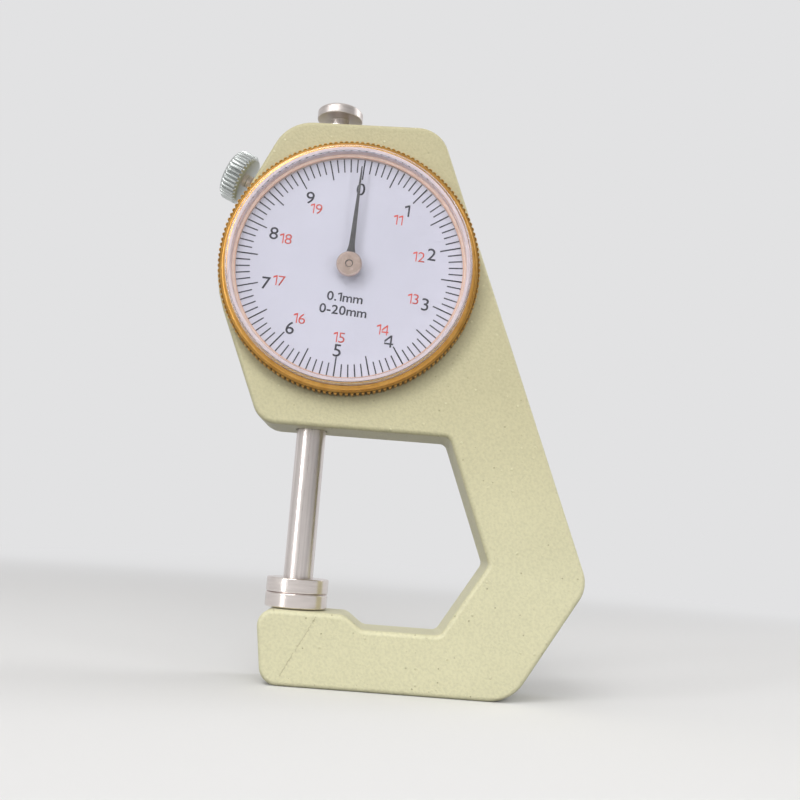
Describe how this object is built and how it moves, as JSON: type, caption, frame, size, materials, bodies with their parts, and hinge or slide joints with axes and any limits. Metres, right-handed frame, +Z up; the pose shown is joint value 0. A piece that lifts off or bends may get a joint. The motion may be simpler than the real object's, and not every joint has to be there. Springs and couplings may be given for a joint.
{
  "type": "dial thickness gauge",
  "caption": "Pocket dial gauge for gemstones: cast C-frame, sprung spindle with flat discs, rack and pinion pointer, turning bezel and a knurled clamp screw.",
  "frame": {"origin": "on the spindle axis, on the flat underside of the lower jaw", "axes": "+Z up along the spindle, -Y the way the dial faces, +X to the right seen from the dial"},
  "size_m": [0.0651, 0.0162, 0.0971],
  "materials": {
    "frame_paint": "pale green-cream enamel with a fine pebble texture over a casting",
    "ground_steel": "ground steel with a fine turned grain",
    "turned_steel": "turned steel with fine rings",
    "nickel": "bright nickel plate over a straight knurl",
    "gold_anodised": "bright gold anodised aluminium",
    "acrylic": "clear polished acrylic",
    "dial_white": "cool white printed dial",
    "pointer_grey": "dark grey lacquered needle",
    "hub_bronze": "nickelled brass hub, satin face",
    "brass": "plain turned brass",
    "screw_steel": "plain steel",
    "spring_steel": "drawn spring wire and ribbon"
  },
  "bodies": {
    "frame": {"frame": "frame_paint", "upper_bush": "brass", "lower_bush": "brass", "anvil": "ground_steel", "movement_bridge": "brass", "bridge_screws": "screw_steel", "rear_bush": "brass", "front_bush": "brass", "guide_rail": "brass", "rail_screws": "screw_steel", "spring_post": "screw_steel", "return_spring": "spring_steel", "hairspring_stud": "brass", "hairspring": "spring_steel", "snap_ring": "spring_steel"},
    "spindle": {"spindle": "ground_steel", "rack": "ground_steel", "lift_knob": "turned_steel", "contact_disc": "ground_steel", "guide_pin": "screw_steel", "spring_pin": "screw_steel"},
    "pointer": {"pinion_arbor": "screw_steel", "hairspring_collet": "brass", "pointer": "pointer_grey", "pointer_hub": "hub_bronze"},
    "bezel": {"bezel": "gold_anodised", "crystal": "acrylic", "dial_plate": "dial_white", "dial_ring": "dial_white"},
    "clamp_plug": {"clamp_plug": "brass"},
    "clamp_screw": {"clamp_screw": "nickel"}
  },
  "joints": [
    {"name": "spindle_slide", "type": "slide", "parent": "frame", "child": "spindle", "axis": [0, 0, 1], "range_m": [0, 0.02], "stiffness_N_per_m": 40, "springref_m": -0.02, "deforming": ["return_spring"]},
    {"name": "pointer_turn", "type": "hinge", "parent": "frame", "child": "pointer", "pos_m": [0.0043, 0, 0.067], "axis": [0, 1, 0], "range_deg": [0, 720.01]},
    {"name": "bezel_turn", "type": "hinge", "parent": "frame", "child": "bezel", "pos_m": [0.0043, 0, 0.067], "axis": [0, 1, 0], "continuous": true},
    {"name": "clamp_travel", "type": "slide", "parent": "frame", "child": "clamp_plug", "axis": [-0.9107, 0, 0.4131], "range_m": [-0.00011, 0.0009]},
    {"name": "clamp_turn", "type": "hinge", "parent": "clamp_plug", "child": "clamp_screw", "pos_m": [0, 0, 0.0762], "axis": [-0.9107, 0, 0.4131], "range_deg": [-90.01, 720.01]}
  ],
  "couplings": [
    {"joint": "pointer_turn", "follows": "spindle_slide", "rad_per_m": 628.32},
    {"joint": "clamp_turn", "follows": "clamp_travel", "rad_per_m": 13963}
  ]
}
